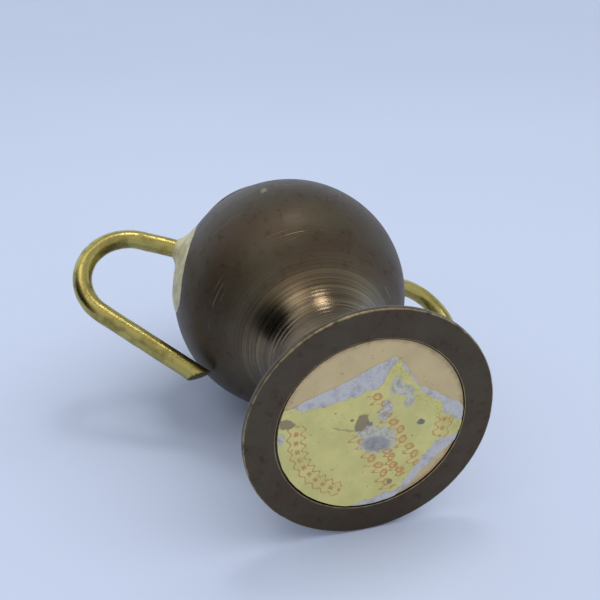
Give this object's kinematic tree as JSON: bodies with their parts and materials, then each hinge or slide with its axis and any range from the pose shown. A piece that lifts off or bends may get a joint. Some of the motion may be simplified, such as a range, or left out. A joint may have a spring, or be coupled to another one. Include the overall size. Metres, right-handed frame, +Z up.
{
  "type": "miniature brass urn",
  "caption": "Miniature turned brass urn with a ball belly, round foot, bent wire handles, loose knobbed lid and a torn paper label under the foot.",
  "frame": {"origin": "centre of the foot's resting ring, on the surface the urn stands on", "axes": "+Z up from the foot to the mouth; the handles leave the belly towards +X and -X and are bent forwards towards +Y"},
  "size_m": [0.06, 0.033, 0.0603],
  "materials": {
    "patinated_brass": "dark brown patina over turned brass, satin, fine lathe lines",
    "brass_rivet": "peened, dull",
    "bright_brass_wire": "drawn wire, bright",
    "solder": "matt, wiped smooth",
    "label_card": "matt beige card",
    "label_paper": "matt grey-white torn paper",
    "label_print": "matt pale yellow printed paper"
  },
  "bodies": {
    "urn": {"bowl": "patinated_brass", "foot": "patinated_brass", "foot_rivet": "brass_rivet", "mouth_collar": "patinated_brass", "handle_left": "bright_brass_wire", "handle_right": "bright_brass_wire", "solder_pad_left": "solder", "solder_pad_right": "solder", "label_backing": "label_card", "label_core": "label_paper", "label_face": "label_print"},
    "lid": {"lid_cap": "patinated_brass", "lid_knob": "patinated_brass"}
  },
  "joints": [
    {"name": "lid_lift", "type": "slide", "parent": "urn", "child": "lid", "axis": [0, 0, 1], "range_m": [0, 0.03]}
  ]
}
